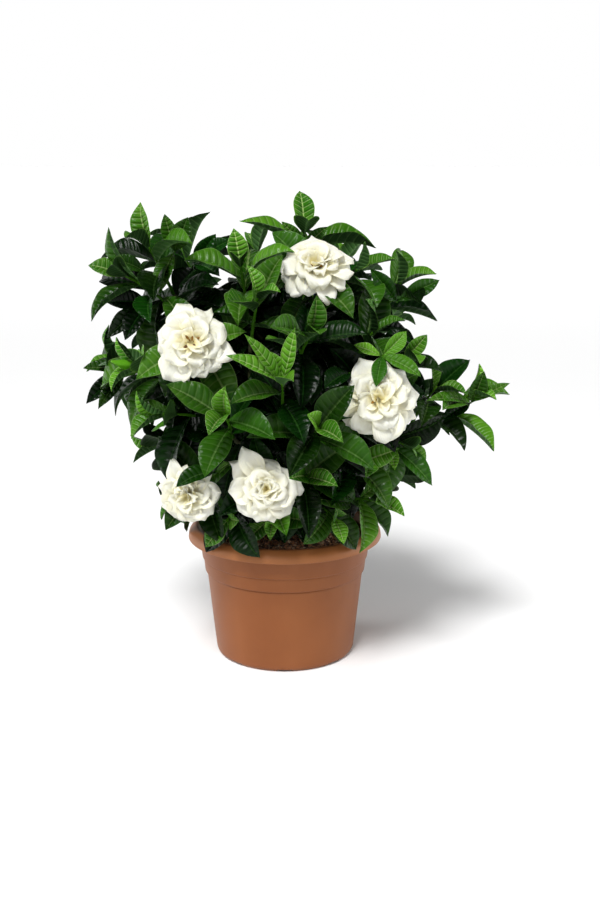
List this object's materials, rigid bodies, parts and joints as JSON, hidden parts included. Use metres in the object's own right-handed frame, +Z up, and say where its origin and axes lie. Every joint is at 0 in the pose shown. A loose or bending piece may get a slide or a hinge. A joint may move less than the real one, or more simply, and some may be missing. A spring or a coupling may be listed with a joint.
{
  "type": "potted gardenia",
  "caption": "Bushy evergreen gardenia with glossy veined leaves and double white blooms, standing in a tapered round plastic plant pot that is filled with soil.",
  "frame": {"origin": "centre of the pot's flat underside", "axes": "+Z up along the pot's axis; -Y is the front of the plant, which its blooms face; +X is the plant's right as seen from the front"},
  "size_m": [0.4054, 0.3581, 0.4519],
  "materials": {
    "pot": "satin terracotta-coloured moulded plastic",
    "soil": "moist bark and peat crumbs",
    "bark": "rough grey-brown bark",
    "leaf": "glossy, deep green, with sunk veins",
    "petal": "satin cream white"
  },
  "bodies": {
    "root": {"pot": "pot", "soil": "soil", "woody_stems": "bark", "bloom_1": "petal", "bloom_2": "petal", "bloom_3": "petal", "bloom_4": "petal", "bloom_5": "petal", "leafy_shoot_01": "leaf", "leafy_shoot_02": "leaf", "leafy_shoot_03": "leaf", "leafy_shoot_04": "leaf", "leafy_shoot_05": "leaf", "leafy_shoot_06": "leaf", "leafy_shoot_07": "leaf", "leafy_shoot_08": "leaf", "leafy_shoot_09": "leaf", "leafy_shoot_10": "leaf", "leafy_shoot_11": "leaf", "leafy_shoot_12": "leaf", "leafy_shoot_13": "leaf", "leafy_shoot_14": "leaf", "leafy_shoot_15": "leaf", "leafy_shoot_16": "leaf", "leafy_shoot_17": "leaf", "leafy_shoot_18": "leaf", "leafy_shoot_19": "leaf", "leafy_shoot_20": "leaf", "leafy_shoot_21": "leaf", "leafy_shoot_22": "leaf", "leafy_shoot_23": "leaf", "leafy_shoot_24": "leaf", "leafy_shoot_25": "leaf", "leafy_shoot_26": "leaf", "leafy_shoot_27": "leaf", "leafy_shoot_28": "leaf", "leafy_shoot_29": "leaf", "leafy_shoot_30": "leaf", "leafy_shoot_31": "leaf", "leafy_shoot_32": "leaf", "leafy_shoot_33": "leaf", "leafy_shoot_34": "leaf", "leafy_shoot_35": "leaf", "leafy_shoot_36": "leaf", "leafy_shoot_37": "leaf", "leafy_shoot_38": "leaf", "leafy_shoot_39": "leaf", "leafy_shoot_40": "leaf", "leafy_shoot_41": "leaf", "leafy_shoot_42": "leaf", "leafy_shoot_43": "leaf", "leafy_shoot_44": "leaf", "leafy_shoot_45": "leaf", "leafy_shoot_46": "leaf", "leafy_shoot_47": "leaf", "leafy_shoot_48": "leaf"}
  },
  "joints": []
}
